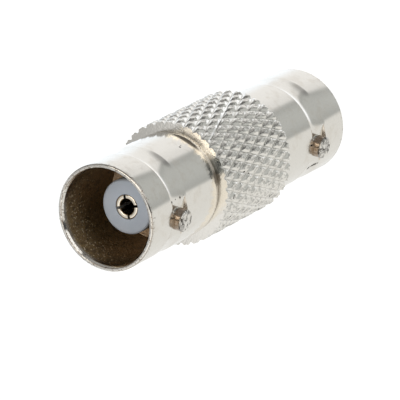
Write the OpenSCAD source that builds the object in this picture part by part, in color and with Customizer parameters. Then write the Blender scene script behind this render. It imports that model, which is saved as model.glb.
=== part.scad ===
// Straight jack-to-jack coaxial bayonet adapter with a diamond-knurled band.
// It stands on the rim of its rear jack: z = 0 is that rim, and +Z runs along the axis to the front jack.
// Both jacks are the same turned shell. Each presses into one end of the knurled sleeve,
// and together they clamp two insulators, which trap one double-ended socket contact by its collar.

/* [Jack shells] */
// Length of a jack from its rim to the knurled sleeve
jack_len = 11.1; // [10.2:0.1:14]
// Outside diameter of a jack
shell_d = 9.65; // [9.5:0.05:10.2]
// Diameter of the mouth inside the rim's edge break
mouth_d = 8.65; // [8.5:0.05:8.9]
// Diameter of the bore at the seat where the mating plug stops
bore_d = 8.1; // [7.6:0.05:8.4]
// Depth of that seat below the rim
seat_depth = 8.4; // [7:0.1:9]
// Length of the lead-in taper from the mouth to the bore
taper_len = 5; // [3:0.1:6]
// Thickness of the wall behind the seat
web_t = 1.6; // [1:0.1:2.4]
// Outer edge break of the rim
rim_break = 0.14; // [0.05:0.01:0.2]
// Inner edge break of the rim
mouth_break = 0.2; // [0.05:0.01:0.25]
// Length of the undercut that tapers to the sleeve
undercut_len = 0.8; // [0.4:0.05:1.2]
// Depth of the undercut at the sleeve
undercut_t = 0.12; // [0.05:0.01:0.2]

/* [Bayonet studs] */
// Diameter of a stud
stud_d = 1.98; // [1.7:0.02:2.2]
// Distance across the tips of the two studs
stud_span = 11; // [10.6:0.05:11.6]
// Depth of the studs' middle below the rim
stud_depth = 4.5; // [3.6:0.05:5]
// Edge break of a stud's tip
stud_break = 0.16; // [0.05:0.01:0.3]
// Width of the shallow hollow turned round the shell at the studs
hollow_w = 2.5; // [2.3:0.05:3]
// Depth of that hollow
hollow_t = 0.1; // [0.05:0.01:0.15]
// Width of the flat milled across the shell at a stud's foot
flat_w = 2.24; // [2.22:0.02:2.6]
// Depth of that flat below the shell's crest
flat_t = 0.36; // [0.2:0.02:0.4]
// Depth to which a stud's foot runs into the wall under the flat
stud_root = 0.12; // [0.05:0.01:0.2]

/* [Knurled sleeve] */
// Length of the sleeve
sleeve_len = 11; // [8:0.1:16]
// Diameter over the knurl's tips
sleeve_d = 11.3; // [11:0.1:13]
// Number of teeth round the sleeve
knurl_teeth = 34; // [24:1:48]
// Depth of the knurl's grooves
knurl_t = 0.24; // [0.16:0.02:0.5]
// Angle of the grooves to the axis
knurl_angle = 22; // [15:1:35]
// Width of a tooth's flat tip, as a share of the tooth
knurl_tip = 0.3; // [0.1:0.05:0.4]
// Wall of the sleeve under the knurl's grooves
sleeve_wall = 1.2; // [0.8:0.02:1.4]

/* [Insulators] */
// Diameter of the nose that stands in the mouth
nose_d = 5; // [4.4:0.05:5.4]
// Depth of the nose's face below the rim
nose_depth = 3.5; // [2.6:0.1:4]
// Edge break of the nose
nose_break = 0.15; // [0.05:0.01:0.3]
// Diameter of the flange clamped in the shell
flange_d = 6.4; // [5.8:0.1:6.8]

/* [Centre contact] */
// Outside diameter of the contact
contact_d = 2.24; // [2:0.02:2.5]
// Diameter of its sockets
socket_d = 1.42; // [1.2:0.02:1.6]
// Depth of a socket
socket_depth = 6; // [5:0.1:8]
// Angle of the drill point at the bottom of a socket
drill_angle = 118; // [90:2:140]
// Edge break at a socket's mouth
socket_break = 0.08; // [0.04:0.01:0.15]
// Width of the slots between the spring fingers
slot_w = 0.24; // [0.1:0.02:0.26]
// Length of the slots
slot_len = 4.6; // [3:0.1:5]
// Angle of the slots from the studs
slot_angle = 20; // [-45:1:45]
// Diameter of the collar that the insulators trap
collar_d = 3.4; // [2.8:0.1:4.2]
// Length of the collar
collar_len = 2; // [1:0.1:4]

/* [Fits] */
// Room on each side between a pressed piece and its seat
press_gap = 0.01; // [0.005:0.005:0.03]
// Room between the inner ends of the two spigots
spigot_gap = 0.3; // [0.1:0.05:0.6]

/* [Hidden] */
$fn = 96;

// Overall length, and the depth of the adapter's middle below either rim
total_len = 2 * jack_len + sleeve_len;
mid_depth = total_len / 2;

// The sleeve's bore leaves its wall under the grooves, and a shell's spigot presses into that bore
root_r = sleeve_d / 2 - knurl_t;
sleeve_bore_r = root_r - sleeve_wall;
spigot_r = sleeve_bore_r - press_gap;

// Radii and depths of the shell's inside
web_depth = seat_depth + web_t;
spigot_depth = mid_depth - spigot_gap / 2;
shell_r = shell_d / 2;
nose_hole_r = nose_d / 2 + press_gap;
pocket_r = flange_d / 2 + press_gap;

// The hollow at the studs is an arc: the circle whose chord is the hollow's width
hollow_r = (hollow_w * hollow_w / 4 + hollow_t * hollow_t) / (2 * hollow_t);

// The knurl is a grid of rows: in each row tooth tips and groove crossings take turns
row_want = PI * sleeve_d / knurl_teeth / 2 / tan(knurl_angle);
knurl_rows = max(2, round(sleeve_len / row_want));
row_len = sleeve_len / knurl_rows;
half_turn = 180 / knurl_teeth;
// A tooth is cut off flat at sleeve_d, so its sharp point lies a little higher
point_r = root_r + knurl_t / (1 - knurl_tip);

// Depths of a socket's straight wall and of its drill point
socket_end = nose_depth + socket_depth;
drill_end = socket_end + socket_d / 2 / tan(drill_angle / 2);

// Length by which a cut runs past the face that it opens
overrun = 1;

nickel = [0.80, 0.79, 0.75];
white_plastic = [0.86, 0.88, 0.90];
plated_contact = [0.88, 0.84, 0.74];

// Places a piece that is drawn from its rim downwards at the front jack
module at_front() {
    translate([0, 0, total_len])
        children();
}

// Places the same piece, turned over, at the rear jack
module at_rear() {
    mirror([0, 0, 1])
        children();
}

// Half section of a shell: radius along x, height along y with the rim at 0
module shell_section() {
    difference() {
        polygon([
            [mouth_d / 2 + mouth_break, 0],
            [shell_r - rim_break, 0],
            [shell_r, -rim_break],
            [shell_r, -jack_len + undercut_len],
            [shell_r - undercut_t, -jack_len],
            [spigot_r, -jack_len],
            [spigot_r, -spigot_depth],
            [pocket_r, -spigot_depth],
            [pocket_r, -web_depth],
            [nose_hole_r, -web_depth],
            [nose_hole_r, -seat_depth],
            [bore_d / 2, -seat_depth],
            [bore_d / 2, -taper_len],
            [mouth_d / 2, -mouth_break]
        ]);
        translate([shell_r - hollow_t + hollow_r, -stud_depth])
            circle(r = hollow_r);
    }
}

// Flat milled across the shell at the foot of the stud on the +X side
module stud_flat() {
    translate([shell_r - flat_t, -shell_r, -stud_depth - flat_w / 2])
        cube([flat_t + overrun, shell_d, flat_w]);
}

// Round stud on the +X side, rooted in the shell's wall under the flat
module stud() {
    foot = shell_r - flat_t - stud_root;
    tip = stud_span / 2;
    translate([0, 0, -stud_depth])
        rotate([0, 90, 0])
            rotate_extrude()
                polygon([
                    [0, foot],
                    [stud_d / 2, foot],
                    [stud_d / 2, tip - stud_break],
                    [stud_d / 2 - stud_break, tip],
                    [0, tip]
                ]);
}

// One turned shell with its two milled studs, rim at z = 0
module jack_shell() {
    sides = [0, 180];
    difference() {
        rotate_extrude()
            shell_section();
        for (side = sides)
            rotate(side)
                stud_flat();
    }
    for (side = sides)
        rotate(side)
            stud();
}

module front_shell() {
    color(nickel)
        at_front()
            jack_shell();
}

module rear_shell() {
    color(nickel)
        at_rear()
            jack_shell();
}

// A point of the knurl: row counts up the sleeve, step counts half teeth round it
function knurl_point(radius, row, step) = [
    radius * cos(step * half_turn),
    radius * sin(step * half_turn),
    row * row_len
];

// Corner of a tooth's flat tip: from its sharp point part of the way to one of its four groove crossings
function tip_point(row, step, across, up) =
    (1 - knurl_tip) * knurl_point(point_r, row, step)
    + knurl_tip * knurl_point(root_r, row + up, step + across);

// The knurled solid, closed at both ends. Each grid place holds four points: on a tooth they are its
// tip's corners in the order left, right, below and above, and on a groove crossing they are all the same.
module knurl_blank() {
    steps = 2 * knurl_teeth;
    sides = [[-1, 0], [1, 0], [0, -1], [0, 1]];
    grid = [
        for (row = [0:knurl_rows], step = [0:steps - 1], side = sides)
            (row + step) % 2 == 0
                ? tip_point(row, step, side[0], side[1])
                : knurl_point(root_r, row, step)
    ];
    foot = len(grid);
    head = foot + 1;
    function place(row, step, side) = 4 * (row * steps + (step + steps) % steps) + side;
    teeth = [
        for (row = [0:knurl_rows], step = [0:steps - 1])
            if ((row + step) % 2 == 0)
                let (
                    tip = [for (side = [0:3]) place(row, step, side)],
                    left = place(row, step - 1, 0),
                    right = place(row, step + 1, 0),
                    below = place(row - 1, step, 0),
                    above = place(row + 1, step, 0),
                    upper = [
                        [tip[3], above, right, tip[1]],
                        [tip[0], left, above, tip[3]],
                        [tip[0], tip[3], tip[1]]
                    ],
                    lower = [
                        [tip[1], right, below, tip[2]],
                        [tip[2], below, left, tip[0]],
                        [tip[2], tip[0], tip[1]]
                    ]
                )
                each concat(row < knurl_rows ? upper : [], row > 0 ? lower : [])
    ];
    caps = [
        for (end = [0, knurl_rows])
            let (
                rim = [
                    for (step = [0:steps - 1])
                        each (end + step) % 2 == 0
                            ? [place(end, step, 0), place(end, step, 1)]
                            : [place(end, step, 0)]
                ]
            )
            for (i = [0:len(rim) - 1])
                let (next = rim[(i + 1) % len(rim)])
                end == 0 ? [foot, rim[i], next] : [head, next, rim[i]]
    ];
    polyhedron(
        points = concat(grid, [[0, 0, 0], [0, 0, sleeve_len]]),
        faces = concat(teeth, caps)
    );
}

module knurled_sleeve() {
    color(nickel)
        translate([0, 0, jack_len])
            difference() {
                knurl_blank();
                translate([0, 0, -overrun])
                    cylinder(r = sleeve_bore_r, h = sleeve_len + 2 * overrun);
            }
}

// One insulator: a nose in the shell's mouth and a flange behind the shell's wall
module insulator() {
    rotate_extrude()
        polygon([
            [contact_d / 2 + press_gap, -nose_depth],
            [nose_d / 2 - nose_break, -nose_depth],
            [nose_d / 2, -nose_depth - nose_break],
            [nose_d / 2, -web_depth],
            [flange_d / 2, -web_depth],
            [flange_d / 2, -mid_depth],
            [collar_d / 2 + press_gap, -mid_depth],
            [collar_d / 2 + press_gap, -mid_depth + collar_len / 2],
            [contact_d / 2 + press_gap, -mid_depth + collar_len / 2]
        ]);
}

module front_insulator() {
    color(white_plastic)
        at_front()
            insulator();
}

module rear_insulator() {
    color(white_plastic)
        at_rear()
            insulator();
}

// Half of the contact, from its mouth down to its middle
module contact_half() {
    difference() {
        rotate_extrude()
            polygon([
                [socket_d / 2 + socket_break, -nose_depth],
                [contact_d / 2 - socket_break, -nose_depth],
                [contact_d / 2, -nose_depth - socket_break],
                [contact_d / 2, -mid_depth + collar_len / 2],
                [collar_d / 2, -mid_depth + collar_len / 2],
                [collar_d / 2, -mid_depth],
                [0, -mid_depth],
                [0, -drill_end],
                [socket_d / 2, -socket_end],
                [socket_d / 2, -nose_depth - socket_break]
            ]);
        for (turn = [0, 90])
            rotate(slot_angle + turn)
                translate([-contact_d, -slot_w / 2, -nose_depth - slot_len])
                    cube([2 * contact_d, slot_w, slot_len + overrun]);
    }
}

module centre_contact() {
    color(plated_contact) {
        at_front()
            contact_half();
        at_rear()
            contact_half();
    }
}

front_shell();
rear_shell();
knurled_sleeve();
front_insulator();
rear_insulator();
centre_contact();
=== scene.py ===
# %% [markdown]
# # A straight bayonet adapter in bright nickel
# The object is a coaxial adapter: a jack at each end and a knurled band in the middle, by which it is held.
# The CAD already fixes every form and place. Blender's work is the looks: smooth turned metal, soft edges that
# catch the light, and a small studio whose reflections make nickel look like nickel.

# %% Load the frame
import math

import bmesh
import bpy
from mathutils import Matrix, Vector, noise as solid_noise


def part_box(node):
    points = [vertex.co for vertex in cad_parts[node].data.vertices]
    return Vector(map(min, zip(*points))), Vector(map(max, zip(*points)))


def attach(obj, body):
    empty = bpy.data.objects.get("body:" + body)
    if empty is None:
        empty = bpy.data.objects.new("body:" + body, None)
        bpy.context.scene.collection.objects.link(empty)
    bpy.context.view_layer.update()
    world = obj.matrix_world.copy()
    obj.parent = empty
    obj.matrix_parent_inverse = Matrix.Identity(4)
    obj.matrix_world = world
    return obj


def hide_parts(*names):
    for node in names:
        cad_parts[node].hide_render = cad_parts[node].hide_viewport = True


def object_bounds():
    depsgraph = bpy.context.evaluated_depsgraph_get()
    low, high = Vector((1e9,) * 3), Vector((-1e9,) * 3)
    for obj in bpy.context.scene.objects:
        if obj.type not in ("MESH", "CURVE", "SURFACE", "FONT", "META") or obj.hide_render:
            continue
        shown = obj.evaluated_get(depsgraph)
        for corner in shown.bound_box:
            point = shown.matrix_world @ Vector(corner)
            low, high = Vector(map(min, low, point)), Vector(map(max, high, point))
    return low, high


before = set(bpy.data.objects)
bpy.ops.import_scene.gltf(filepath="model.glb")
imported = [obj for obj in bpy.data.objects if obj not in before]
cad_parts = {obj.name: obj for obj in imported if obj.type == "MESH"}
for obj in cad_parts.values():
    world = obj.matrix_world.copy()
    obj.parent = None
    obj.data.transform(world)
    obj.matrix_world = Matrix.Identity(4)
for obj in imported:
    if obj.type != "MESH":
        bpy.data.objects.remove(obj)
start_low, start_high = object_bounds()
MM = 0.001
print("CAD box in mm:", [round(v / MM, 2) for v in start_high - start_low])

# %% [markdown]
# The CAD meshes come as flat facets, and in a mirror finish every facet shows. So each piece is made again as a
# fine smooth mesh of the same form. The main sizes are read from the boxes of the CAD nodes. The finer ones are
# named where they are first needed, in millimetres, with depths counted from the rim of a jack.

# %% Sizes from the frame
shell_low, shell_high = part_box("front_shell")
sleeve_low, sleeve_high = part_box("knurled_sleeve")
_, plastic_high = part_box("front_insulator")
_, contact_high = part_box("centre_contact")
total = shell_high.z / MM
shell_r = shell_high.y / MM
stud_tip = shell_high.x / MM
jack_len = sleeve_low.z / MM
sleeve_len = (sleeve_high.z - sleeve_low.z) / MM
sleeve_r = sleeve_high.x / MM
nose_depth = total - plastic_high.z / MM
spigot_depth = total - shell_low.z / MM
mid_depth = total / 2
print("shell radius", round(shell_r, 3), "sleeve radius", round(sleeve_r, 3), "length", round(total, 2))

# %% [markdown]
# Turned parts are drawn as half a section and spun. Blender's Screw modifier could do that too, but bmesh gives
# full control of the rings and a closed mesh of clean quads. A real edge is never quite sharp, so corners of the
# section are first replaced by small arcs, which catch a thin line of light.

# %% Spin a section
TURN = 224
ARC_STEPS, ARC_SHARE = 4, 0.45
WELD = 1e-8


def soften(corners):
    """Replace corners (radius, depth, rounding) of a closed section by small arcs."""
    made = []
    for i, (r, d, rounding) in enumerate(corners):
        here = Vector((r, d))
        before = Vector(corners[i - 1][:2]) - here
        after = Vector(corners[(i + 1) % len(corners)][:2]) - here
        if not rounding:
            made.append(here)
            continue
        cut = min(rounding, before.length * ARC_SHARE, after.length * ARC_SHARE)
        start = here + before.normalized() * cut
        end = here + after.normalized() * cut
        for step in range(ARC_STEPS + 1):
            t = step / ARC_STEPS
            made.append(start * (1 - t) ** 2 + here * 2 * t * (1 - t) + end * t * t)
    return made


def spin(section, place, turn=TURN):
    """Spin a closed section (radius, depth) about the axis into a bmesh."""
    made = bmesh.new()
    rings = []
    for step in range(turn):
        angle = 2 * math.pi * step / turn
        x, y = math.cos(angle), math.sin(angle)
        rings.append([made.verts.new(Vector((r * x, r * y, place(d))) * MM) for r, d in section])
    for step in range(turn):
        near, far = rings[step], rings[(step + 1) % turn]
        for i in range(len(section)):
            j = (i + 1) % len(section)
            made.faces.new((near[i], near[j], far[j], far[i]))
    bmesh.ops.remove_doubles(made, verts=made.verts, dist=WELD)
    bmesh.ops.recalc_face_normals(made, faces=made.faces)
    return made


def at_front(depth):
    """Height of a depth below the front rim."""
    return total - depth


def at_rear(depth):
    """Height of a depth below the rear rim, on which the part stands."""
    return depth


print("sections are spun in", TURN, "steps")

# %% [markdown]
# Flats, studs and slots are cut or joined with Boolean modifiers, and a Bevel modifier breaks the edges that they
# leave. Each modifier is applied at once by taking the evaluated mesh, so that a finished piece is a plain mesh.
# Weighted normals then let the large faces rule the shading, as on a machined part.

# %% Cut, join and break edges
EDGE_ANGLE = math.radians(42)


def to_object(name, made):
    """Turn a bmesh into a smooth-shaded object of the scene."""
    for face in made.faces:
        face.smooth = True
    mesh = bpy.data.meshes.new(name)
    made.to_mesh(mesh)
    made.free()
    piece = bpy.data.objects.new(name, mesh)
    bpy.context.scene.collection.objects.link(piece)
    return piece


def settle(piece):
    """Replace a piece's mesh by what its modifiers make of it, and drop the modifiers."""
    depsgraph = bpy.context.evaluated_depsgraph_get()
    mesh = bpy.data.meshes.new_from_object(piece.evaluated_get(depsgraph))
    piece.modifiers.clear()
    old, piece.data = piece.data, mesh
    bpy.data.meshes.remove(old)
    mesh.name = piece.name


def combine(piece, other, operation):
    """Cut another object from a piece or join it on, then remove that object."""
    step = piece.modifiers.new(operation.lower(), "BOOLEAN")
    step.operation = operation
    step.object = other
    step.solver = "EXACT"
    settle(piece)
    bpy.data.objects.remove(other)


def weigh_normals(piece):
    """Let large faces rule the shading, apart from edges that are marked sharp."""
    step = piece.modifiers.new("weigh", "WEIGHTED_NORMAL")
    step.keep_sharp = True
    settle(piece)


def finish_edges(piece, width, sharp=None):
    """Break the cut edges and keep the creases that a test chooses."""
    step = piece.modifiers.new("break", "BEVEL")
    step.width = width * MM
    step.segments = 2
    step.limit_method = "ANGLE"
    step.angle_limit = EDGE_ANGLE
    step.use_clamp_overlap = True
    settle(piece)
    for face in piece.data.polygons:
        face.use_smooth = True
    if sharp:
        for edge in piece.data.edges:
            ends = [piece.data.vertices[v].co / MM for v in edge.vertices]
            edge.use_edge_sharp = all(sharp(p) for p in ends)
    weigh_normals(piece)


print("edges sharper than", round(math.degrees(EDGE_ANGLE)), "degrees are broken")

# %% [markdown]
# Each jack is one turned shell: a thin rim, a shallow hollow round the studs, a slight undercut at the sleeve, and
# a bore that narrows to a seat. The hollow is an arc with crisp edges, one of them a little steeper. That edge
# draws the bright crescent in the photo, so the arc gets an extra slope there that fades away from the edge.

# %% Section of a shell
rim_break, rim_soft = 0.1, 0.05
mouth_r, lip_t, lip_len = 4.325, 0.175, 0.25
bore_r, taper_len, seat_depth, seat_soft = 4.05, 5.0, 7.6, 0.1
web_depth, nose_hole_r = 10.0, 2.51
spigot_r, pocket_r = 4.2, 3.21
undercut_len, undercut_t, undercut_soft = 0.8, 0.12, 0.2
stud_depth = 4.5
hollow_w, hollow_t = 2.5, 0.1
hollow_r = (hollow_w ** 2 / 4 + hollow_t ** 2) / (2 * hollow_t)
HOLLOW_STEPS = 24


def hollow_points(rim_edge, sleeve_edge):
    """Arc of the hollow. Each edge is a slope that is added there and the reach over which it fades."""
    points = []
    for step in range(1, HOLLOW_STEPS):
        down = hollow_w * (step / HOLLOW_STEPS - 0.5)
        sag = math.sqrt(hollow_r ** 2 - down ** 2) - (hollow_r - hollow_t)
        for (slope, reach), start in ((rim_edge, hollow_w / 2 + down), (sleeve_edge, hollow_w / 2 - down)):
            sag += slope * start * math.exp(-start / reach) * (1 - start / hollow_w) ** 2
        points.append((shell_r - sag, stud_depth + down, 0))
    return points


def shell_section(rim_edge, sleeve_edge):
    """Closed section of a shell, from the rim down the outside and back up the bore."""
    return soften([
        (mouth_r + lip_t, 0, rim_soft),
        (shell_r - rim_break, 0, rim_soft),
        (shell_r, rim_break, rim_soft),
        (shell_r, stud_depth - hollow_w / 2, 0),
        *hollow_points(rim_edge, sleeve_edge),
        (shell_r, stud_depth + hollow_w / 2, 0),
        (shell_r, jack_len - undercut_len, undercut_soft),
        (shell_r - undercut_t, jack_len, 0),
        (spigot_r, jack_len, 0),
        (spigot_r, spigot_depth, 0),
        (pocket_r, spigot_depth, 0),
        (pocket_r, web_depth, 0),
        (nose_hole_r, web_depth, 0),
        (nose_hole_r, seat_depth, 0),
        (bore_r, seat_depth, seat_soft),
        (bore_r, taper_len, 0),
        (mouth_r, lip_len, rim_soft),
    ])


print("the hollow is an arc of radius", round(hollow_r, 2), "mm")

# %% [markdown]
# Two studs stand out of each jack, and the bayonet slots of a plug turn over them. Each is a small pin with a
# softened tip, spun like the shell and laid along X. Under it a flat is milled across the shell: a box whose side
# walls lean outwards, as cutters leave them.

# %% Studs and flats
stud_r, stud_break, stud_soft, stud_root = 0.99, 0.16, 0.08, 0.12
flat_w, flat_t, flat_lean = 2.24, 0.36, 0.12
cutter_t, cutter_lean = 2, 1.33
STUD_TURN = 72
flat_x = shell_r - flat_t


def stud_pair(place):
    """Two studs along X, each a short spun pin with a softened tip."""
    section = soften([
        (0.0, flat_x - stud_root, 0),
        (stud_r, flat_x - stud_root, 0),
        (stud_r, stud_tip - stud_break, stud_soft),
        (stud_r - stud_break, stud_tip, stud_soft),
        (0.0, stud_tip, 0),
    ])
    made = bmesh.new()
    for side in (-1, 1):
        stud = spin(section, at_rear, STUD_TURN)
        spot = Matrix.Translation((0, 0, place(stud_depth) * MM))
        stud.transform(spot @ Matrix.Rotation(side * math.pi / 2, 4, "Y"))
        mesh = bpy.data.meshes.new("stud")
        stud.to_mesh(mesh)
        stud.free()
        made.from_mesh(mesh)
        bpy.data.meshes.remove(mesh)
    return to_object("studs", made)


def flat_pair(place):
    """Two boxes that mill a flat on each side of the shell, wider at the outside."""
    made = bmesh.new()
    for side in (1, -1):
        middle = Vector((side * (flat_x + cutter_t / 2), 0, place(stud_depth))) * MM
        size = Vector((cutter_t, 2 * shell_r, flat_w - 2 * flat_lean)) * MM
        box = bmesh.ops.create_cube(made, matrix=Matrix.Translation(middle) @ Matrix.Diagonal((*size, 1)))
        for vert in box["verts"]:
            if abs(vert.co.x) > shell_r * MM:
                vert.co.z += math.copysign(cutter_lean * MM, vert.co.z - middle.z)
    return to_object("flats", made)


print("flats are", round(stud_tip - flat_x, 2), "mm below the tips of the studs")

# %% [markdown]
# Both jacks are the same piece, one turned over. The edges of the hollow stay creased, because weighted normals
# would smear them, and the cut edges get a fine break.

# %% Jack shells
# Slope and reach of the hollow's edges, towards the rim and towards the sleeve
FRONT_EDGES = ((0.2, 0.36), (-0.06, 0.3))
REAR_EDGES = ((-0.06, 0.3), (0.24, 1.3))
shell_edge, skin, close = 0.03, 0.01, 1e-3


def jack_shell(node, place, edges):
    """One finished shell with its flats, studs and broken edges."""
    piece = to_object(node + "_skin", spin(shell_section(*edges), place))
    combine(piece, flat_pair(place), "DIFFERENCE")
    combine(piece, stud_pair(place), "UNION")
    creases = [place(stud_depth - hollow_w / 2), place(stud_depth + hollow_w / 2)]

    def on_crease(p):
        return math.hypot(p.x, p.y) > shell_r - skin and min(abs(p.z - c) for c in creases) < close

    finish_edges(piece, shell_edge, on_crease)
    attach(piece, "root")
    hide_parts(node)
    print(piece.name, len(piece.data.polygons), "faces")
    return piece


shells = [
    jack_shell("front_shell", at_front, FRONT_EDGES),
    jack_shell("rear_shell", at_rear, REAR_EDGES),
]

# %% [markdown]
# The knurl is rolled: two sets of slanting wheels press V grooves that cross, and what stays is a grid of
# diamond teeth. The same tooth repeats hundreds of times, which is a task for Geometry Nodes. One tooth is drawn
# on the sleeve's own cylinder as a low dome with a shallow crater, where the rolled metal hasn't quite closed. Half
# a tooth with its share of the end face and the bore closes each end.

# %% One tooth of the knurl
TEETH, ROWS = 34, 9
tooth_t, sleeve_bore_r = 0.24, 4.21
root_r = sleeve_r - tooth_t
row_len = sleeve_len / ROWS
half_turn = math.pi / TEETH
# How much of a diamond's corners is cut off
CORNER = 0.05
# Each ring: how far out towards the grooves, and how high on the tooth
RINGS = [(1.0, 0.0), (0.91, 0.07), (0.72, 0.54), (0.52, 0.92), (0.40, 1.0), (0.17, 0.80)]


def tooth_point(made, across, along, high):
    """A point on the cylinder, in half teeth across, rows along and tooth heights above the root."""
    radius = root_r + (sleeve_r - root_r) * high
    angle = across * half_turn
    return made.verts.new(Vector((radius * math.cos(angle), radius * math.sin(angle), along * row_len)) * MM)


def tooth(name, half=None):
    """A whole tooth, or with half = 1 or -1 the upper or lower half with its part of the end face."""
    made = bmesh.new()
    turn = half or 1
    rings = []
    for out, high in RINGS:
        k, w = out - CORNER, CORNER
        spots = [(k, w), (w, k), (-w, k), (-k, w), (-k, -w), (-w, -k), (w, -k), (k, -w)]
        if half:
            spots = [(k, 0), (k, w), (w, k), (-w, k), (-k, w), (-k, 0)]
        rings.append([tooth_point(made, a, turn * b, high) for a, b in spots])
    count = len(rings[0])
    for outer, inner in zip(rings, rings[1:]):
        for i in range(count - 1 if half else count):
            j = (i + 1) % count
            made.faces.new((outer[i], outer[j], inner[j], inner[i]))
    made.faces.new(rings[-1])
    right, left = tooth_point(made, 1, 0, 0), tooth_point(made, -1, 0, 0)
    top = tooth_point(made, 0, turn, 0)
    outer = rings[0]
    if half:
        for corner, i in ((right, 0), (top, 2), (left, 4)):
            made.faces.new((corner, outer[i + 1], outer[i]))
        rim = [right, *[ring[0] for ring in rings], *[ring[-1] for ring in reversed(rings)], left]
        bore_high = (sleeve_bore_r - root_r) / (sleeve_r - root_r)
        bore = [tooth_point(made, a, 0, bore_high) for a in (-1, 0, 1)]
        made.faces.new(rim + bore)
        deep = [tooth_point(made, a, turn * ROWS / 2, bore_high) for a in (-1, 0, 1)]
        for i in range(2):
            made.faces.new((bore[i], bore[i + 1], deep[i + 1], deep[i]))
    else:
        bottom = tooth_point(made, 0, -1, 0)
        for corner, i in ((right, 7), (top, 1), (left, 3), (bottom, 5)):
            made.faces.new((corner, outer[(i + 1) % count], outer[i]))
    return to_object(name, made)


tooth_whole = tooth("tooth")
tooth_lower = tooth("tooth_first", 1)
tooth_upper = tooth("tooth_last", -1)
print("a tooth has", len(tooth_whole.data.polygons), "faces")

# %% [markdown]
# The node tree makes one point per tooth in every row, turns each row by half a tooth against the one below,
# and puts a tooth on each point. The points lie on the axis, because the tooth already carries its radius.
# Merging by distance then welds neighbours along the groove lines into one closed skin.

# %% Node tree for the knurl
knurl = bpy.data.node_groups.new("knurl", "GeometryNodeTree")
knurl.is_modifier = True
for label, kind in (
    ("Geometry", "NodeSocketGeometry"), ("Teeth", "NodeSocketInt"), ("Rows", "NodeSocketInt"),
    ("Row Length", "NodeSocketFloat"), ("Start", "NodeSocketFloat"), ("Tooth", "NodeSocketObject"),
    ("First Tooth", "NodeSocketObject"), ("Last Tooth", "NodeSocketObject"), ("Material", "NodeSocketMaterial"),
):
    knurl.interface.new_socket(label, in_out="INPUT", socket_type=kind)
knurl.interface.new_socket("Geometry", in_out="OUTPUT", socket_type="NodeSocketGeometry")
GROOVE_WELD = 2e-6


def put(tree, kind, links=None, **props):
    """Add a node, set its properties, and fill its inputs with values or with other nodes' outputs."""
    made = tree.nodes.new(kind)
    for key, value in props.items():
        setattr(made, key, value)
    for key, value in (links or {}).items():
        if isinstance(value, bpy.types.NodeSocket):
            tree.links.new(value, made.inputs[key])
        else:
            made.inputs[key].default_value = value
    return made


def calc(tree, operation, *values):
    """One step of arithmetic: returns the output of a Math node."""
    return put(tree, "ShaderNodeMath", dict(enumerate(values)), operation=operation).outputs[0]


given = put(knurl, "NodeGroupInput").outputs


def ring_of_teeth(prototype, first_row, rows):
    """Instances of one prototype on the teeth of some rows."""
    teeth = given["Teeth"]
    count = calc(knurl, "MULTIPLY", rows, teeth)
    points = put(knurl, "GeometryNodeMeshLine", {"Count": count, "Offset": (0, 0, 0)}).outputs["Mesh"]
    index = put(knurl, "GeometryNodeInputIndex").outputs[0]
    row = calc(knurl, "ADD", calc(knurl, "FLOOR", calc(knurl, "DIVIDE", index, teeth)), first_row)
    half = calc(knurl, "MULTIPLY", calc(knurl, "MODULO", row, 2.0), 0.5)
    share = calc(knurl, "DIVIDE", calc(knurl, "ADD", calc(knurl, "MODULO", index, teeth), half), teeth)
    angle = calc(knurl, "MULTIPLY", share, 2 * math.pi)
    height = calc(knurl, "ADD", calc(knurl, "MULTIPLY", row, given["Row Length"]), given["Start"])
    spot = put(knurl, "ShaderNodeCombineXYZ", {"Z": height}).outputs[0]
    placed = put(knurl, "GeometryNodeSetPosition", {"Geometry": points, "Position": spot}).outputs[0]
    shape = put(knurl, "GeometryNodeObjectInfo", {"Object": prototype}).outputs["Geometry"]
    turn = put(knurl, "ShaderNodeCombineXYZ", {"Z": angle}).outputs[0]
    return put(knurl, "GeometryNodeInstanceOnPoints",
               {"Points": placed, "Instance": shape, "Rotation": turn}).outputs[0]


inner_rows = calc(knurl, "SUBTRACT", given["Rows"], 1.0)
joined = put(knurl, "GeometryNodeJoinGeometry")
for made in (
    ring_of_teeth(given["First Tooth"], 0.0, 1.0),
    ring_of_teeth(given["Tooth"], 1.0, inner_rows),
    ring_of_teeth(given["Last Tooth"], given["Rows"], 1.0),
):
    knurl.links.new(made, joined.inputs[0])
solid = put(knurl, "GeometryNodeRealizeInstances", {0: joined.outputs[0]}).outputs[0]
welded = put(knurl, "GeometryNodeMergeByDistance", {"Geometry": solid, "Distance": GROOVE_WELD}).outputs[0]
smooth = put(knurl, "GeometryNodeSetShadeSmooth", {0: welded}).outputs[0]
painted = put(knurl, "GeometryNodeSetMaterial", {"Geometry": smooth, "Material": given["Material"]}).outputs[0]
put(knurl, "NodeGroupOutput", {0: painted})
print("knurl tree has", len(knurl.nodes), "nodes")

# %% [markdown]
# The sleeve is an empty mesh with this tree as its modifier. The inputs are set by the sockets' identifiers before
# the first evaluation, and the result is taken as a plain mesh. The three single teeth aren't needed after that.

# %% Knurled sleeve
sleeve = bpy.data.objects.new("knurled_sleeve_skin", bpy.data.meshes.new("knurled_sleeve_skin"))
bpy.context.scene.collection.objects.link(sleeve)
knurl_nickel = bpy.data.materials.new("knurl_nickel")
step = sleeve.modifiers.new("knurl", "NODES")
step.node_group = knurl
sockets = {item.name: item.identifier for item in knurl.interface.items_tree if item.in_out == "INPUT"}
for label, value in (
    ("Teeth", TEETH), ("Rows", ROWS), ("Row Length", row_len * MM), ("Start", jack_len * MM),
    ("Tooth", tooth_whole), ("First Tooth", tooth_lower), ("Last Tooth", tooth_upper), ("Material", knurl_nickel),
):
    step[sockets[label]] = value
settle(sleeve)
for spare in (tooth_whole, tooth_lower, tooth_upper):
    bpy.data.objects.remove(spare)
print("sleeve has", len(sleeve.data.polygons), "faces")

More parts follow.
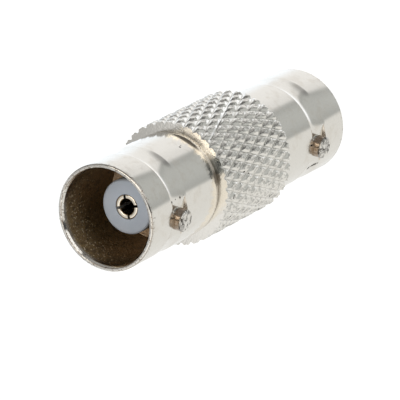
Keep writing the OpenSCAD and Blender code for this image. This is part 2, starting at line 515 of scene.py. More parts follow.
# %% [markdown]
# Rolling is never even: no two teeth are quite alike. A smooth noise moves each point of the teeth by a few
# hundredths of a millimetre, with a fixed seed, because this noise otherwise starts from the clock. A limit keeps
# the points within the sleeve's radius. The end faces are turned, so they stay flat and their edges sharp.

# %% Uneven rolling
UNEVEN, UNEVEN_PER_MM, ROLL_SEED = 0.035, 1.3, 7
tooth_skin, end_gap, end_close = 0.1, 0.01, 1e-7
ends = (sleeve_low.z, sleeve_high.z)
check = bmesh.new()
check.from_mesh(sleeve.data)
bmesh.ops.recalc_face_normals(check, faces=check.faces)
solid_noise.seed_set(ROLL_SEED)
for vert in check.verts:
    spot = vert.co / MM
    on_teeth = math.hypot(spot.x, spot.y) > root_r - tooth_skin
    if on_teeth and min(abs(spot.z - end / MM) for end in ends) > end_gap:
        spot += UNEVEN * solid_noise.noise_vector(spot * UNEVEN_PER_MM)
        spot.xy *= min(1.0, sleeve_r / math.hypot(spot.x, spot.y))
        vert.co = spot * MM
print("open edges", sum(not e.is_manifold for e in check.edges),
      "volume mm3", round(check.calc_volume() / MM ** 3, 1))
check.to_mesh(sleeve.data)
check.free()
for edge in sleeve.data.edges:
    heights = [sleeve.data.vertices[v].co.z for v in edge.vertices]
    edge.use_edge_sharp = any(all(abs(h - end) < end_close for h in heights) for end in ends)
weigh_normals(sleeve)
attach(sleeve, "root")
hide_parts("knurled_sleeve")

# %% [markdown]
# The insulators are moulded or turned plastic rings. Only the face of the nose shows down in the mouth, but the
# whole ring is made, with its flange behind the shell's wall, so that it is right from every side.

# %% Insulators
nose_r, nose_break, nose_soft = 2.5, 0.15, 0.1
flange_r, collar_r = plastic_high.x / MM, contact_high.x / MM
contact_r, collar_len, clearance = 1.12, 2.0, 0.01
hole_r, hole_soft, collar_room = contact_r + clearance, 0.03, collar_r + clearance
collar_depth = mid_depth - collar_len / 2
fine_edge, RING_TURN = 0.02, 128
insulator_section = soften([
    (hole_r, nose_depth, hole_soft),
    (nose_r - nose_break, nose_depth, nose_soft),
    (nose_r, nose_depth + nose_break, nose_soft),
    (nose_r, web_depth, 0),
    (flange_r, web_depth, 0),
    (flange_r, mid_depth, 0),
    (collar_room, mid_depth, 0),
    (collar_room, collar_depth, 0),
    (hole_r, collar_depth, 0),
])
insulators = []
for node, place in (("front_insulator", at_front), ("rear_insulator", at_rear)):
    piece = to_object(node + "_skin", spin(insulator_section, place, RING_TURN))
    finish_edges(piece, fine_edge)
    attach(piece, "root")
    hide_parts(node)
    insulators.append(piece)
print("insulators:", [p.name for p in insulators])

# %% [markdown]
# The contact is a turned pin with a socket drilled into both ends. Two crossed saw cuts split each end into four
# spring fingers. Its ends are alike, so one is drawn and mirrored. The section is spun like the rest, and thin
# boxes cut the slots.

# %% Centre contact
socket_r, socket_depth, socket_break, socket_soft = 0.71, 6.0, 0.08, 0.05
slot_w, slot_len, slot_angle, saw_over = 0.24, 4.6, math.radians(20), 1
drill_angle, PIN_TURN = math.radians(118), 96
drill = socket_r / math.tan(drill_angle / 2)
far = total - nose_depth
contact_end = [
    (0.0, nose_depth + socket_depth + drill, 0),
    (socket_r, nose_depth + socket_depth, 0),
    (socket_r, nose_depth + socket_break, socket_soft),
    (socket_r + socket_break, nose_depth, socket_soft),
    (contact_r - socket_break, nose_depth, socket_soft),
    (contact_r, nose_depth + socket_break, socket_soft),
    (contact_r, collar_depth, 0),
    (collar_r, collar_depth, 0),
]
other_end = [(r, total - d, rounding) for r, d, rounding in reversed(contact_end)]
contact_section = soften(contact_end + other_end)
contact = to_object("centre_contact_skin", spin(contact_section, at_front, PIN_TURN))
for turn in (0, math.pi / 2):
    cut = bmesh.new()
    for end, inward in ((nose_depth - saw_over, 1), (far + saw_over, -1)):
        middle = end + inward * (slot_len + saw_over) / 2
        size = Vector((4 * contact_r, slot_w, slot_len + saw_over)) * MM
        spot = Matrix.Translation((0, 0, middle * MM)) @ Matrix.Rotation(slot_angle + turn, 4, "Z")
        bmesh.ops.create_cube(cut, matrix=spot @ Matrix.Diagonal((*size, 1)))
    combine(contact, to_object("slots", cut), "DIFFERENCE")
finish_edges(contact, fine_edge)
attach(contact, "root")
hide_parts("centre_contact")
print("contact faces", len(contact.data.polygons))

# %% [markdown]
# Turning leaves fine rings on every face. On a barrel they follow the length and on an end face the radius, so
# one coordinate, length plus radius, serves both. A noise that is stretched round the axis makes the rings
# uneven, as a real tool does. This is a node group, so that all the metals share it.

# %% Node group for turning marks


def new_group(name, inputs, outputs):
    """An empty shader node group with float sockets."""
    made = bpy.data.node_groups.new(name, "ShaderNodeTree")
    for label, value in inputs:
        made.interface.new_socket(label, in_out="INPUT", socket_type="NodeSocketFloat").default_value = value
    for label in outputs:
        made.interface.new_socket(label, in_out="OUTPUT", socket_type="NodeSocketFloat")
    return made, put(made, "NodeGroupInput").outputs, put(made, "NodeGroupOutput")


def hypot(tree, a, b):
    """Length of the long side of a right-angled triangle."""
    return calc(tree, "SQRT", calc(tree, "ADD", calc(tree, "MULTIPLY", a, a), calc(tree, "MULTIPLY", b, b)))


def polar(tree):
    """Object coordinates in millimetres: the point, its x, y and z, and its radius."""
    point = put(tree, "ShaderNodeTexCoord").outputs["Object"]
    point = put(tree, "ShaderNodeVectorMath", {0: point, "Scale": 1 / MM}, operation="SCALE").outputs[0]
    x, y, z = put(tree, "ShaderNodeSeparateXYZ", {0: point}).outputs
    return point, x, y, z, hypot(tree, x, y)


def noise(tree, scale, detail=3.0, rough=0.5, point=None):
    """Noise of the object's own coordinates, in cells per millimetre."""
    return put(tree, "ShaderNodeTexNoise", {
        "Vector": point or polar(tree)[0], "Scale": scale, "Detail": detail, "Roughness": rough}).outputs[0]


AXIS_SAFE = 0.05
marks, given, result = new_group("turning_marks", [("Per Millimetre", 8.0), ("Wander", 1.5)], ["Height", "Grain"])
point, x, y, z, radius = polar(marks)
safe = calc(marks, "MAXIMUM", radius, AXIS_SAFE)
around = put(marks, "ShaderNodeCombineXYZ", {
    0: calc(marks, "MULTIPLY", calc(marks, "DIVIDE", x, safe), given["Wander"]),
    1: calc(marks, "MULTIPLY", calc(marks, "DIVIDE", y, safe), given["Wander"]),
    2: calc(marks, "MULTIPLY", calc(marks, "ADD", z, radius), given["Per Millimetre"]),
}).outputs[0]
marks.links.new(noise(marks, 1.0, 2.5, 0.6, around), result.inputs["Height"])
marks.links.new(noise(marks, 9.0, 3.0, 0.6, point), result.inputs["Grain"])
print("turning marks group:", len(marks.nodes), "nodes")

# %% [markdown]
# Where the plating is thin or worn depends on the place: how deep below the nearer rim, how far from the axis, and
# how far from the axis of the studs. A second group works these out once for every metal on the part.

# %% Node group for the place on a jack
on_jack, given, result = new_group("place_on_jack", [], ["Depth", "Radius", "Side", "From Stud"])
point, x, y, z, radius = polar(on_jack)


def apart(tree, value, other):
    """Distance between two numbers."""
    return calc(tree, "ABSOLUTE", calc(tree, "SUBTRACT", value, other))


depth = calc(on_jack, "SUBTRACT", mid_depth, apart(on_jack, z, mid_depth))
off = hypot(on_jack, y, calc(on_jack, "SUBTRACT", depth, stud_depth))
for label, value in (
    ("Depth", depth), ("Radius", radius), ("Side", calc(on_jack, "ABSOLUTE", x)), ("From Stud", off),
):
    on_jack.links.new(value, result.inputs[label])
print("place group:", len(on_jack.nodes), "nodes")

# %% [markdown]
# Wear is painted with masks: numbers from 0 to 1 that say where a layer lies. A soft step turns a distance or a
# noise into a mask, and a product of masks keeps only the places where all of them hold. Three short helpers make
# these nodes, so that the materials below stay readable.

# %% Masks and mixes


def span(tree, value, low, high):
    """0 at low, 1 at high and a soft step between."""
    return put(tree, "ShaderNodeMapRange", {"Value": value, "From Min": low, "From Max": high},
               interpolation_type="SMOOTHSTEP").outputs[0]


def mix(tree, mask, first, second):
    """A colour between two, by a mask."""
    return put(tree, "ShaderNodeMix", {0: mask, 6: first, 7: second}, data_type="RGBA").outputs[2]


def both(tree, *masks):
    """The product of some masks and strengths."""
    made = masks[0]
    for mask in masks[1:]:
        made = calc(tree, "MULTIPLY", made, mask)
    return made


print("masks step softly from 0 to 1")

# %% [markdown]
# Nickel plate is a warm, light grey mirror, and each layer of wear over it has a mask, a colour and some added
# roughness. The rings of turning blur reflections along the axis more than round it, so the shader is anisotropic,
# with its tangent running round the axis.

# %% Metal shader
NICKEL = (0.74, 0.715, 0.665)
GRAIN_SHADE, GRAIN_ROUGH = 0.95, 0.03


def fresh_tree(material):
    """The emptied node tree of a material or world."""
    material.use_nodes = True
    material.node_tree.nodes.clear()
    return material.node_tree


def metal(material, colour, rough, per_mm, depth, layers, blur=0.0, relief=None):
    """Plated metal with turning marks: layers of (mask, colour, added roughness) lie over the clean plate."""
    tree = fresh_tree(material)
    rings = put(tree, "ShaderNodeGroup", node_tree=marks)
    rings.inputs["Per Millimetre"].default_value = per_mm
    spot = put(tree, "ShaderNodeGroup", node_tree=on_jack).outputs
    shade = span(tree, rings.outputs["Grain"], 0.3, 0.7)
    tone = mix(tree, shade, (*colour, 1), (*[c * GRAIN_SHADE for c in colour], 1))
    roughness = calc(tree, "MULTIPLY_ADD", shade, GRAIN_ROUGH, rough)
    for mask, tint, more in layers(tree, spot):
        tone = mix(tree, mask, tone, tint)
        roughness = calc(tree, "MULTIPLY_ADD", mask, more, roughness)
    bump = put(tree, "ShaderNodeBump", {
        "Strength": 1.0, "Distance": depth * MM, "Height": rings.outputs["Height"]}).outputs[0]
    if relief:
        bump = put(tree, "ShaderNodeBump", {
            "Strength": 1.0, "Distance": MM, "Height": relief(tree, spot), "Normal": bump}).outputs[0]
    round_axis = put(tree, "ShaderNodeTangent", direction_type="RADIAL", axis="Z").outputs[0]
    shader = put(tree, "ShaderNodeBsdfPrincipled", {
        "Base Color": tone, "Metallic": 1.0, "Roughness": roughness, "Normal": bump,
        "Anisotropic": blur, "Anisotropic Rotation": 0.25, "Tangent": round_axis,
    })
    put(tree, "ShaderNodeOutputMaterial", {0: shader.outputs[0]})
    return material


def dress(pieces, material):
    """Give some pieces one material."""
    for piece in pieces:
        piece.data.materials.clear()
        piece.data.materials.append(material)


print("metal shader ready, nickel", NICKEL)

# %% [markdown]
# Grime gathers in the seam between shell and sleeve, and the shell is painted a little darker towards it as shade.
# On one side the seam is scuffed bare instead, a rough stretch that is painted pale as a sheen. Faint smudges lie
# over the whole shell. The masks come from the depth, the radius and the angle round the axis.

# %% Seam at the sleeve
# Tarnish, copper and grime also serve as painted shade, soot as a painted shadow line, and the scuffed colour as a
# painted sheen
TARNISH_AND_SHADE = (0.365, 0.25, 0.12, 1)
COPPER_AND_SHADE = (0.24, 0.165, 0.105, 1)
GRIME_AND_SHADE = (0.16, 0.11, 0.07, 1)
SOOT_AND_SHADOW = (0.03, 0.022, 0.015, 1)
SCUFF_AND_SHEEN = (0.98, 0.94, 0.87, 1)
# Angles between which the shell's side of the seam is scuffed and painted pale as a sheen: start, full, full, end
SHELL_SCUFF_SHEEN = (24, 34, 80, 94)
# Radii between which the outer skin begins
OUTSIDE = (4.5, 4.6)


def between(tree, low, low_full, high_full, high):
    """Mask for a range of angles round the axis, in degrees, which fades at both ends."""
    point, x, y, z, radius = polar(tree)
    turn = calc(tree, "DEGREES", calc(tree, "ARCTAN2", y, x))
    return both(tree, span(tree, turn, low, low_full), span(tree, turn, high, high_full))


def seam_layers(tree, spot):
    """Smudges, painted shade towards the sleeve, and the seam with its scuffed stretch painted pale as a sheen."""
    depth, outside = spot["Depth"], span(tree, spot["Radius"], *OUTSIDE)
    bare = between(tree, *SHELL_SCUFF_SHEEN)
    smudge = span(tree, noise(tree, 0.9, 5.0), 0.48, 0.68)
    by_side = calc(tree, "MULTIPLY_ADD", span(tree, spot["Side"], 3.1, 2.4), 0.7, 0.3)
    # Painted shade: the shell is toned darker towards the corner at the sleeve
    corner = both(tree, span(tree, depth, jack_len - 1.4, jack_len - 0.2), outside, by_side)
    seam = both(tree, span(tree, depth, jack_len - 0.1, jack_len - 0.05), outside,
                calc(tree, "SUBTRACT", 1.0, bare))
    # Scuffed stretch, painted pale as a sheen
    scuff_sheen = both(tree, span(tree, depth, jack_len - 0.6, jack_len - 0.3), outside, bare)
    return [
        (both(tree, smudge, 0.1), TARNISH_AND_SHADE, 0.5),
        (both(tree, corner, 0.1), COPPER_AND_SHADE, 2.0),
        (both(tree, seam, 0.6), GRIME_AND_SHADE, 0.1),
        (scuff_sheen, SCUFF_AND_SHEEN, 0.4),
    ]


print("the seam is scuffed from", SHELL_SCUFF_SHEEN[0], "to", SHELL_SCUFF_SHEEN[-1], "degrees")

# %% [markdown]
# Plugs wear the sides of the studs down to the copper under the nickel, and chip and dull their tips. The walls of
# the flats are painted brighter as a highlight, with painted shade lines where they meet the floor and the outside.
# The cracked look of a tip is the cell edges of a Voronoi texture, broken up by noise.

# %% Wear, painted highlight and painted shade on studs and flats
# Paler colour painted on the walls of the flats as a highlight
WALL_HIGHLIGHT = (0.85, 0.80, 0.72, 1)
TIP_DULL = (0.30, 0.285, 0.265, 1)


def speckles(tree):
    """Fine even speckle."""
    return span(tree, noise(tree, 7.0), 0.42, 0.58)


def stud_layers(tree, spot):
    """Walls with a painted highlight and painted shade lines, copper on the sides of the studs, and chipped tips.
    """
    side, radius = spot["Side"], spot["Radius"]
    reach = apart(tree, spot["Depth"], stud_depth)
    # Painted highlight on the walls of the flats, with painted shade lines along their floor and outer edges
    walls = both(tree, span(tree, reach, flat_w / 2 - 0.14, flat_w / 2 - 0.1), span(tree, reach, 1.4, 1.3),
                 span(tree, side, flat_x - 0.025, flat_x - 0.005),
                 span(tree, radius, shell_r - 0.01, shell_r - 0.04))
    lines = calc(tree, "MAXIMUM", span(tree, side, flat_x + 0.045, flat_x + 0.015),
                 span(tree, radius, shell_r - 0.08, shell_r - 0.05))
    stud = both(tree, span(tree, spot["From Stud"], stud_r + 0.07, stud_r + 0.03),
                span(tree, side, flat_x + 0.095, flat_x + 0.135),
                span(tree, side, stud_tip - 0.1, stud_tip - 0.25))
    worn = calc(tree, "MULTIPLY_ADD", speckles(tree), 0.2, 0.75)
    on_tip = span(tree, side, stud_tip - 0.3, stud_tip - 0.18)
    vein = put(tree, "ShaderNodeTexVoronoi", {"Vector": polar(tree)[0], "Scale": 1.5}, feature="DISTANCE_TO_EDGE")
    chip = both(tree, span(tree, vein.outputs["Distance"], 0.08, 0.03), on_tip,
                span(tree, noise(tree, 3.0), 0.42, 0.5), 0.8)
    dull = both(tree, on_tip, span(tree, noise(tree, 2.2, 4.0), 0.46, 0.56), 0.75)
    return [
        (walls, WALL_HIGHLIGHT, 0.1),
        (both(tree, walls, lines, 0.6), COPPER_AND_SHADE, 0.0),
        (both(tree, stud, worn), COPPER_AND_SHADE, 0.05),
        (dull, TIP_DULL, 0.1),
        (chip, SOOT_AND_SHADOW, 0.2),
    ]


print("studs are worn over a length of", round(stud_tip - flat_x, 2), "mm")

# %% [markdown]
# Plating hardly reaches into a bore, so tarnish tones it brown, and it is painted darker still as shade. Soot lies
# on it in blotches, and near the rim bright flecks are painted in as sparkle. The rim carries painted shade lines,
# broken up, along its two edges, and small pits.

# %% Rim and bore
# Bright flecks painted in as sparkle, and a paler seat
SPARKLE_FLECK = (0.92, 0.80, 0.58, 1)
SEAT = (0.46, 0.39, 0.33, 1)


def mouth_layers(tree, spot):
    """Painted shade lines and pits on the rim, and the bore, tarnished and painted darker as shade, with its
    blotches, painted sparkle flecks and paler seat.
    """
    depth, radius = spot["Depth"], spot["Radius"]
    # Painted shade: broken dark lines along the rim's inner edge and on its outer bevel
    lip_line = both(tree, span(tree, apart(tree, radius, mouth_r + lip_t), 0.05, 0.02),
                    span(tree, depth, 0.12, 0.06), span(tree, noise(tree, 2.0), 0.36, 0.5), 0.7)
    outer = both(tree, span(tree, radius, shell_r - 0.1, shell_r - 0.06), span(tree, depth, 0.12, 0.09), 0.4)
    pits = both(tree, span(tree, depth, 0.36, 0.26), span(tree, noise(tree, 8.0), 0.57, 0.63), 0.75)
    # Tarnish with painted shade over the whole bore
    bore = both(tree, span(tree, radius, mouth_r + 0.02, mouth_r - 0.03), span(tree, depth, 0.24, 0.34))
    blotch = both(tree, bore, span(tree, noise(tree, 2.2, 4.0), 0.52, 0.64), 0.4)
    # Painted sparkle: bright flecks near the rim
    fleck = both(tree, bore, span(tree, noise(tree, 6.0, 2.0), 0.62, 0.66), span(tree, depth, 5.5, 2.5))
    seat = both(tree, bore, span(tree, depth, seat_depth - 0.05, seat_depth), 0.6)
    return [
        (lip_line, GRIME_AND_SHADE, 0.1),
        (outer, GRIME_AND_SHADE, 0.1),
        (bore, mix(tree, both(tree, speckles(tree), 0.5), TARNISH_AND_SHADE, GRIME_AND_SHADE), 0.17),
        (blotch, SOOT_AND_SHADOW, 0.0),
        (fleck, SPARKLE_FLECK, 0.0),
        (seat, SEAT, 0.0),
        (pits, GRIME_AND_SHADE, 0.1),
    ]


print("the bore is tarnished down to", seat_depth, "mm")

# %% [markdown]
# A used part has marks that belong to it alone: nicks in the plating, and dark patches in the corner at the sleeve.
# Each is a small ball or a flattened ball in the object's own space, and noise makes the edge of a patch ragged.

# %% Dark patches and nicks
corner_z = total - jack_len
# Dark patches: place, length round the shell, length along it, colour and strength
DARK_PATCHES = [
    (1.15, 4.63, corner_z + 0.60, 1.5, 0.42, (0.07, 0.058, 0.042, 1), 0.9),
    (4.36, 1.85, corner_z + 0.24, 0.75, 0.42, (0.14, 0.115, 0.085, 1), 0.75),
    (4.55, 1.30, corner_z + 0.15, 2.2, 0.35, (0.22, 0.18, 0.14, 1), 0.45),
    (3.60, 3.10, corner_z + 0.35, 1.1, 0.45, (0.30, 0.25, 0.19, 1), 0.3),
]
# Nicks: place and radius
NICKS = [
    (1.61, 4.55, 24.34, 0.10), (1.50, 4.58, 24.05, 0.06), (4.66, 1.27, 32.76, 0.06),
    (4.45, 1.76, 29.76, 0.12), (4.37, 1.81, 29.05, 0.06), (4.36, 1.78, 28.33, 0.11), (4.36, 1.84, 27.80, 0.06),
    (4.14, -2.29, 4.73, 0.20), (4.21, -2.16, 4.32, 0.15), (4.23, -2.11, 4.04, 0.18),
    (4.24, -2.09, 3.74, 0.16), (4.26, -2.05, 3.43, 0.12),
]


def vector(tree, operation, *values):
    """A Vector Math node."""
    return put(tree, "ShaderNodeVectorMath", dict(enumerate(values)), operation=operation).outputs


def mark_layers(tree):
    """Ragged dark patches and small dark nicks."""
    point = polar(tree)[0]
    layers = []
    for x, y, z, long, short, colour, strength in DARK_PATCHES:
        gap = vector(tree, "SUBTRACT", point, (x, y, z))[0]
        gap = vector(tree, "MULTIPLY", gap, (1 / long, 1 / long, 1 / short))[0]
        away = vector(tree, "LENGTH", gap)["Value"]
        ragged = calc(tree, "MULTIPLY_ADD", calc(tree, "SUBTRACT", noise(tree, 3.0), 0.5), 0.5, away)
        layers.append((both(tree, span(tree, ragged, 1.25, 0.55), strength), colour, 0.3))
    for x, y, z, r in NICKS:
        away = vector(tree, "DISTANCE", point, (x, y, z))["Value"]
        layers.append((span(tree, away, r * 1.3, r * 0.6), SOOT_AND_SHADOW, 0.2))
    return layers


print(len(DARK_PATCHES), "stains and", len(NICKS), "nicks")

# %% [markdown]
# The shell's material stacks these layers from the seam to the nicks. Its bump adds chipped tips and a grainy bore
# to the rings of turning.

# %% Shell material


def shell_layers(tree, spot):
    """All wear of a shell, the lowest layer first."""
    return [*seam_layers(tree, spot), *stud_layers(tree, spot), *mouth_layers(tree, spot), *mark_layers(tree)]


def shell_relief(tree, spot):
    """Chipped tips of the studs and a grainy bore."""
    tip = both(tree, span(tree, spot["Side"], stud_tip - 0.25, stud_tip - 0.1), noise(tree, 3.5, 4.0), 0.12)
    inside = both(tree, span(tree, spot["Radius"], mouth_r - 0.02, mouth_r - 0.08),
                  span(tree, spot["Depth"], 0.3, 0.5), noise(tree, 7.0), 0.04)
    return calc(tree, "ADD", tip, inside)


shell_nickel = metal(
    bpy.data.materials.new("shell_nickel"), NICKEL, rough=0.115, per_mm=6.0, depth=0.0012,
    layers=shell_layers, blur=0.6, relief=shell_relief,
)
dress(shells, shell_nickel)
print("shell material has", len(shell_nickel.node_tree.nodes), "nodes")

# %% [markdown]
# The knurl's grooves hold grime, its crests are worn grey in patches, and one long scratch runs over the teeth,
# painted brighter as a highlight, with a painted shadow line beside it. The end face has a scuffed, gritty stretch
# painted pale as a sheen, and a painted dark reflection in one patch. On the real piece it isn't quite flat either:
# a bump that falls evenly with the radius leans its shading a few degrees outwards.

# %% Sleeve material
KNURL_NICKEL = (0.80, 0.775, 0.72)
CREST, GROOVE = (0.42, 0.405, 0.375, 1), (0.16, 0.15, 0.135, 1)
# Painted highlight of the scratch, grit, and a painted dark reflection for the end face
SCRATCH_HIGHLIGHT, GRIT, REFLECTION_GREY = (0.98, 0.97, 0.94, 1), (0.5, 0.43, 0.35, 1), (0.37, 0.39, 0.38, 1)
# Angles of the scuffed stretch with its painted sheen and of the painted dark reflection on the end face: start,
# full, full, end
SLEEVE_SCUFF_SHEEN, REFLECTION_ANGLES = (46, 52, 80, 94), (25, 28, 41, 45)
# The scratch: where it starts and ends along the axis, and its angles there in degrees
SCRATCH = (12.3, 21.9, 93.6, 57.6)
END_LEAN = math.radians(4.5)


def scratch(tree):
    """Distance round the sleeve from the scratch, in millimetres, and a mask for its length."""
    point, x, y, z, radius = polar(tree)
    low, high, first, last = SCRATCH
    slope = math.radians(last - first) / (high - low)
    aim = calc(tree, "MULTIPLY_ADD", calc(tree, "SUBTRACT", z, low), slope, math.radians(first))
    off = calc(tree, "MULTIPLY", calc(tree, "SUBTRACT", calc(tree, "ARCTAN2", y, x), aim), sleeve_r)
    return off, both(tree, span(tree, z, low - 0.2, low + 0.2), span(tree, z, high + 0.1, high - 0.1))


def on_knurl(tree, spot):
    """Mask for the knurl without the end faces."""
    return span(tree, spot["Depth"], jack_len + 0.02, jack_len + 0.1)


def knurl_layers(tree, spot):
    """Worn crests, grimy grooves, flecks, the scratch with its painted highlight and painted shadow, a scuff
    painted pale as a sheen, and a painted dark reflection on the end face.
    """
    radius, teeth = spot["Radius"], on_knurl(tree, spot)
    crest = both(tree, span(tree, radius, sleeve_r - 0.1, sleeve_r - 0.03),
                 span(tree, noise(tree, 3.0, 4.0), 0.38, 0.58), teeth, 0.75)
    groove = both(tree, span(tree, radius, root_r + 0.04, root_r), teeth, 0.35)
    fleck = both(tree, span(tree, noise(tree, 2.6, 5.0), 0.665, 0.70), teeth)
    off, along = scratch(tree)
    # Painted highlight along the scratch, and a painted shadow line beside it
    highlit_scratch = both(tree, span(tree, calc(tree, "ABSOLUTE", off), 0.11, 0.05), along, 0.9)
    scratch_shadow = both(tree, span(tree, apart(tree, off, -0.15), 0.09, 0.03), along,
                  span(tree, noise(tree, 1.2), 0.38, 0.55), 0.8)
    on_end = span(tree, spot["Depth"], jack_len + 0.03, jack_len + 0.01)
    # Scuffed stretch of the end face, painted pale as a sheen, with grit in it
    scuff_sheen = both(tree, on_end, between(tree, *SLEEVE_SCUFF_SHEEN))
    grit = both(tree, scuff_sheen, span(tree, noise(tree, 6.0), 0.52, 0.6), 0.6)
    # Painted dark reflection on part of the end face
    painted_reflection = both(tree, on_end, between(tree, *REFLECTION_ANGLES), 0.9)
    return [
        (crest, CREST, 0.15), (groove, GROOVE, 0.05), (fleck, SOOT_AND_SHADOW, 0.2), (highlit_scratch, SCRATCH_HIGHLIGHT, 0.1),
        (scratch_shadow, SOOT_AND_SHADOW, 0.1), (scuff_sheen, SCUFF_AND_SHEEN, 0.25), (grit, GRIT, 0.0), (painted_reflection, REFLECTION_GREY, 0.1),
    ]


def end_lean(tree, spot):
    """Lean of the end faces, and grain that is stronger on the knurl."""
    lean = calc(tree, "MULTIPLY", spot["Radius"], -math.tan(END_LEAN))
    grain = calc(tree, "MULTIPLY_ADD", on_knurl(tree, spot), 0.022, 0.012)
    return calc(tree, "MULTIPLY_ADD", noise(tree, 6.0), grain, lean)


metal(knurl_nickel, KNURL_NICKEL, rough=0.09, per_mm=3.0, depth=0.001, layers=knurl_layers, relief=end_lean)
print("sleeve material has", len(knurl_nickel.node_tree.nodes), "nodes")

# %% [markdown]
# The contact is plated in a warmer tone. Its socket is dark inside, and the outer edge of its rim is tarnished in
# patches, where it rubs in the insulator.

# %% Contact material
CONTACT_PLATE = (0.87, 0.80, 0.68)
SOCKET, RIM_TARNISH = (0.30, 0.22, 0.14, 1), (0.22, 0.14, 0.08, 1)


def contact_layers(tree, spot):
    """A dark socket and a patchy rim."""
    inside = span(tree, spot["Radius"], socket_r + 0.03, socket_r - 0.01)
    rim = both(tree, span(tree, spot["Radius"], contact_r - 0.09, contact_r - 0.04),
               span(tree, noise(tree, 1.6), 0.42, 0.56), 0.8)
    return [(inside, SOCKET, 0.12), (rim, RIM_TARNISH, 0.1)]


contact_metal = metal(
    bpy.data.materials.new("contact_metal"), CONTACT_PLATE, rough=0.10, per_mm=5.0, depth=0.0008,
    layers=contact_layers,
)
dress([contact], contact_metal)
print("metals:", shell_nickel.name, knurl_nickel.name, contact_metal.name)

# %% [markdown]
# The insulator is a satin plastic, nearly white with a cool tone. A faint cloudiness and a fine grain keep it
# from looking like a flat fill.

# %% Plastic material
PLASTIC_DARK, PLASTIC_LIGHT = (0.385, 0.438, 0.52, 1), (0.41, 0.46, 0.54, 1)
plastic = bpy.data.materials.new("insulator_plastic")
tree = fresh_tree(plastic)
cloud, fine = noise(tree, 1.2), noise(tree, 14.0, 2.0)
tone = mix(tree, span(tree, cloud, 0.3, 0.7), PLASTIC_DARK, PLASTIC_LIGHT)
bump = put(tree, "ShaderNodeBump", {"Strength": 1.0, "Distance": 0.003 * MM, "Height": fine}).outputs[0]
roughness = calc(tree, "MULTIPLY_ADD", fine, 0.12, 0.38)
shader = put(tree, "ShaderNodeBsdfPrincipled", {"Base Color": tone, "Roughness": roughness, "Normal": bump})
put(tree, "ShaderNodeOutputMaterial", {0: shader.outputs[0]})
dress(insulators, plastic)
print("plastic on", len(insulators), "pieces")

# %% [markdown]
# Bright metal shows nothing but its surroundings, so the studio is the finish. In the photo the part lies on a
# white sheet that rises behind it. A grey room shows to its right, the camera's side is dark, and a warm
# lamp stands at the left. These are drawn in the world by direction: each mask compares the direction of a ray
# with an axis of the photo's studio, which lies turned against the standing part.

# %% Studio: the room
SHEET_UP, BACK, RIGHT = (-0.117, 0.993, 0), (0, 0, -1), (0.993, 0.117, 0)
LAMP, SIDE_LAMP = (-0.1, 0.53, 0.84), (0.55, 0.72, 0.38)
SHEET_LEAN = 0.236
world = bpy.data.worlds.new("studio")
bpy.context.scene.world = world
studio = fresh_tree(world)
direction = put(studio, "ShaderNodeTexCoord").outputs["Generated"]


def toward(axis):
    """How far a ray points along an axis, from -1 to 1."""
    return vector(studio, "DOT_PRODUCT", direction, Vector(axis).normalized())["Value"]


def layer(below, value, low, high, colour, strength=None):
    """Lay a colour over another, from nothing at low to all of it at high."""
    mask = span(studio, value, low, high)
    return mix(studio, both(studio, mask, strength) if strength else mask, below, colour)


def light(level, tint=(1, 1, 1)):
    """A colour of light from its level and tint."""
    return (level * tint[0], level * tint[1], level * tint[2], 1)


height, back, right = toward(SHEET_UP), toward(BACK), toward(RIGHT)
sheet_edge = calc(studio, "SUBTRACT", calc(studio, "MULTIPLY", back, SHEET_LEAN), right)
grey = layer(light(0.30), back, -0.1, 0.35, light(0.60, (1, 1.03, 1.02)))
grey = layer(grey, sheet_edge, -0.16, 0.05, light(0.0), 0.22)
grey = layer(grey, height, 0.3, 0.05, light(0.0), 0.14)
front = layer(light(0.05, (0.9, 1, 1.1)), toward(LAMP), 0.89, 0.92, light(2.4, (1, 0.95, 0.86)))
front = layer(front, right, -0.40, -0.54, light(0.45))
room = layer(grey, back, -0.1, -0.3, front)
print("room drawn with", len(studio.nodes), "nodes")

# %% [markdown]
# The sheet is brightest straight behind the part and cool towards the left. Above hangs a dim ceiling, darker to
# the right, with a second lamp in it. Below lies the same sheet, bright near the lamp. The camera sees plain white,
# so that the photo's background stays free of all this.

# %% Studio: sheet, ceiling and lamps
COOL = (0.95, 1, 1.06)
white = layer(light(1.0), right, 0.05, -0.2, light(1.1))
white = layer(white, right, -0.42, -0.6, light(1.27, COOL))
rise = both(studio, span(studio, sheet_edge, 0.0, 0.11), span(studio, back, 0.0, 0.25))
sky = mix(studio, rise, room, white)
sky = layer(sky, back, 0.89, 0.97, light(1.45, (0.97, 1, 1.05)))
ceiling = layer(light(0.4), right, 0.1, 0.3, light(0.14))
sky = layer(sky, height, 0.64, 0.76, ceiling)
sky = layer(sky, toward(SIDE_LAMP), 0.89, 0.925, light(1.3))
near = layer(light(0.52), right, -0.57, -0.41, light(1.0))
near = layer(near, right, -0.3, 0.15, light(1.35, (1, 0.97, 0.92)))
behind = layer(light(0.93, (1, 1, 0.98)), right, -0.4, -0.56, light(1.27, COOL))
sheet = layer(near, back, -0.75, -0.4, behind)
sky = layer(sky, height, 0.07, 0.0, sheet)
lit = put(studio, "ShaderNodeBackground", {"Color": sky, "Strength": 1.0}).outputs[0]
plain = put(studio, "ShaderNodeBackground", {"Color": light(1.0), "Strength": 1.0}).outputs[0]
seen = put(studio, "ShaderNodeLightPath").outputs["Is Camera Ray"]
shown = put(studio, "ShaderNodeMixShader", {0: seen, 1: lit, 2: plain}).outputs[0]
put(studio, "ShaderNodeOutputWorld", {0: shown})
print("studio world has", len(studio.nodes), "nodes")

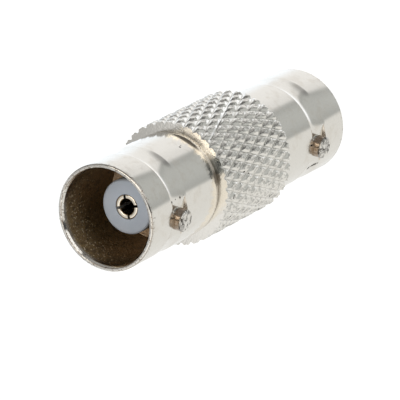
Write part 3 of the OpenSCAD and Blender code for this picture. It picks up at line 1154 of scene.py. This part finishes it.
# %% [markdown]
# The floor is a plain pale sheet under the part. It is left out of reflections, where the studio stands in for
# it, and it glows nearly white so that only a faint shadow of the part stays, as in the photo.

# %% Floor
FLOOR_SIZE, FLOOR_GLOW, FLOOR_GREY = 1.5, 0.92, 0.2
floor_mesh = bpy.data.meshes.new("floor")
made = bmesh.new()
bmesh.ops.create_grid(made, x_segments=1, y_segments=1, size=FLOOR_SIZE)
made.to_mesh(floor_mesh)
made.free()
floor = bpy.data.objects.new("floor", floor_mesh)
floor.location.z = start_low.z
bpy.context.scene.collection.objects.link(floor)
paper = bpy.data.materials.new("floor_paper")
tree = fresh_tree(paper)
glow = put(tree, "ShaderNodeEmission", {"Color": light(1.0), "Strength": FLOOR_GLOW}).outputs[0]
matte = put(tree, "ShaderNodeBsdfDiffuse", {"Color": light(FLOOR_GREY)}).outputs[0]
put(tree, "ShaderNodeOutputMaterial", {0: put(tree, "ShaderNodeAddShader", {0: glow, 1: matte}).outputs[0]})
floor_mesh.materials.append(paper)
for kind in ("diffuse", "glossy", "transmission", "shadow"):
    setattr(floor, "visible_" + kind, False)
print("floor at z", round(floor.location.z, 5))

# %% [markdown]
# The camera is fitted to the photo: a long lens that looks steeply down on the standing part and is rolled, so
# that the part lies slantwise across the picture with its front jack towards the lower left.

# %% Camera
CAMERA_AT = Vector((168.566, 135.392, 320.892))
CAMERA_AIM = Vector((0.388, -2.774, 17.549))
CAMERA_ROLL = math.radians(117.54)
lens = bpy.data.cameras.new("camera")
lens.lens, lens.sensor_width, lens.sensor_fit = 378.1, 36, "HORIZONTAL"
lens.clip_start, lens.clip_end = 0.05, 5
camera = bpy.data.objects.new("camera", lens)
bpy.context.scene.collection.objects.link(camera)
aim = (CAMERA_AIM - CAMERA_AT).to_track_quat("-Z", "Y").to_matrix()
turned = (aim @ Matrix.Rotation(-CAMERA_ROLL, 3, "Z")).to_4x4()
camera.matrix_world = Matrix.Translation(CAMERA_AT * MM) @ turned
bpy.context.scene.camera = camera
bpy.context.scene.view_settings.view_transform = "Standard"
print("camera", round((CAMERA_AT - CAMERA_AIM).length, 1), "mm from its aim")
